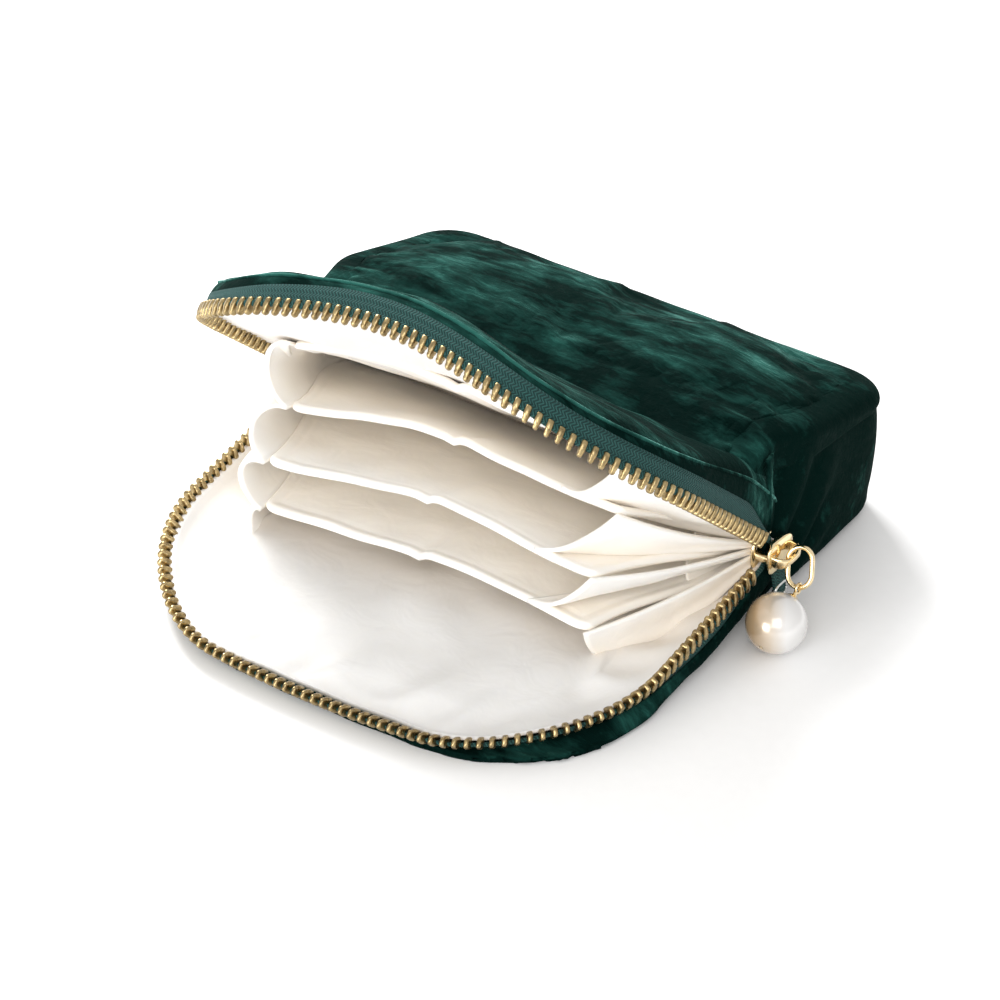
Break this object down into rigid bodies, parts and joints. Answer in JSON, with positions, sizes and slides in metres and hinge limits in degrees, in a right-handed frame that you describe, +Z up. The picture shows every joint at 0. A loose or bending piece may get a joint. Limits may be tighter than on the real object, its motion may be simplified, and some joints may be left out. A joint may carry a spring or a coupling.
{
  "type": "travel jewelry case",
  "caption": "Padded green velvet travel jewelry case, open, with a brass zipper round its mouth, a white fan of padded dividers inside and a pearl zipper pull.",
  "frame": {"origin": "on the table, midway between the two zipper ends, where the lid turns", "axes": "+X towards the slider side, +Y towards the closed spine, -Y towards the mouth, +Z up"},
  "size_m": [0.1593, 0.1563, 0.0974],
  "materials": {
    "velvet": "crushed velvet",
    "zipper_tape": "woven",
    "satin": "satin",
    "wadding": "matte",
    "board": "matte",
    "brass_teeth": "antique",
    "gold": "polished",
    "pearl": "pearl lustre"
  },
  "bodies": {
    "base": {"base_panel": "velvet", "rear_gusset": "velvet", "base_padding": "wadding", "spine_board": "board", "base_lining": "satin", "spine_lining": "satin", "lower_tape": "zipper_tape", "lower_teeth": "brass_teeth", "lower_top_stop": "brass_teeth", "bottom_stop": "brass_teeth", "tape_tail": "zipper_tape", "tail_crimp": "brass_teeth", "accordion_spine": "satin"},
    "rear_top": {"rear_top_panel": "velvet", "rear_top_lining": "satin"},
    "lid": {"lid_panel": "velvet", "lid_padding": "wadding", "upper_tape": "zipper_tape", "upper_teeth": "brass_teeth", "upper_top_stop": "brass_teeth"},
    "lid_crown": {"lid_lining": "satin"},
    "slider": {"slider_body": "gold", "slider_bail": "gold"},
    "ring": {"pull_ring": "gold"},
    "pearl_drop": {"pearl_cap": "gold", "pearl": "pearl"},
    "leaf_lower": {"divider_lower": "satin", "divider_lower_board": "board", "pleats_lower": "satin"},
    "leaf_middle": {"divider_middle": "satin", "divider_middle_board": "board", "pleats_middle": "satin"},
    "leaf_upper": {"divider_upper": "satin", "divider_upper_board": "board", "pleats_upper": "satin"},
    "leaf_top": {"lid_pocket_panel": "satin"}
  },
  "joints": [
    {"name": "lid_hinge", "type": "hinge", "parent": "base", "child": "lid", "pos_m": [0, 0, 0.018], "axis": [-1, 0, 0], "range_deg": [-49.5, 8]},
    {"name": "lid_crown_flex", "type": "hinge", "parent": "lid", "child": "lid_crown", "pos_m": [0, 0, 0.018], "axis": [-1, 0, 0], "range_deg": [-6.6, 1.23]},
    {"name": "rear_top_fold", "type": "hinge", "parent": "base", "child": "rear_top", "pos_m": [0, 0.056, 0.0342], "axis": [-1, 0, 0], "range_deg": [-14.2, 2.46]},
    {"name": "divider_lower_fold", "type": "hinge", "parent": "base", "child": "leaf_lower", "pos_m": [0, 0.01, 0.0105], "axis": [-1, 0, 0], "range_deg": [-8.8, 1.59]},
    {"name": "divider_middle_fold", "type": "hinge", "parent": "leaf_lower", "child": "leaf_middle", "pos_m": [0, 0.01, 0.0145], "axis": [-1, 0, 0], "range_deg": [-11.2, 1.98]},
    {"name": "divider_upper_fold", "type": "hinge", "parent": "leaf_middle", "child": "leaf_upper", "pos_m": [0, 0.01, 0.0185], "axis": [-1, 0, 0], "range_deg": [-12.2, 2.14]},
    {"name": "pocket_panel_fold", "type": "hinge", "parent": "leaf_upper", "child": "leaf_top", "pos_m": [0, 0.01, 0.0225], "axis": [-1, 0, 0], "range_deg": [-10.2, 1.82]},
    {"name": "slider_run", "type": "slide", "parent": "base", "child": "slider", "axis": [0, 1, 0], "range_m": [0, 0.004]},
    {"name": "ring_swing", "type": "hinge", "parent": "slider", "child": "ring", "pos_m": [0.0764, 0, 0.018], "axis": [0, -0.866, 0.5], "range_deg": [-2, 30]},
    {"name": "pearl_swing", "type": "hinge", "parent": "ring", "child": "pearl_drop", "pos_m": [0.08, -0.00324, 0.01238], "axis": [1, 0, 0], "range_deg": [-35, 25]}
  ],
  "couplings": [
    {"joint": "lid_crown_flex", "follows": "lid_hinge", "ratio": 0.1293},
    {"joint": "rear_top_fold", "follows": "lid_hinge", "ratio": 0.2828},
    {"joint": "divider_lower_fold", "follows": "lid_hinge", "ratio": 0.1737},
    {"joint": "divider_middle_fold", "follows": "lid_hinge", "ratio": 0.2222},
    {"joint": "divider_upper_fold", "follows": "lid_hinge", "ratio": 0.2424},
    {"joint": "pocket_panel_fold", "follows": "lid_hinge", "ratio": 0.202}
  ]
}
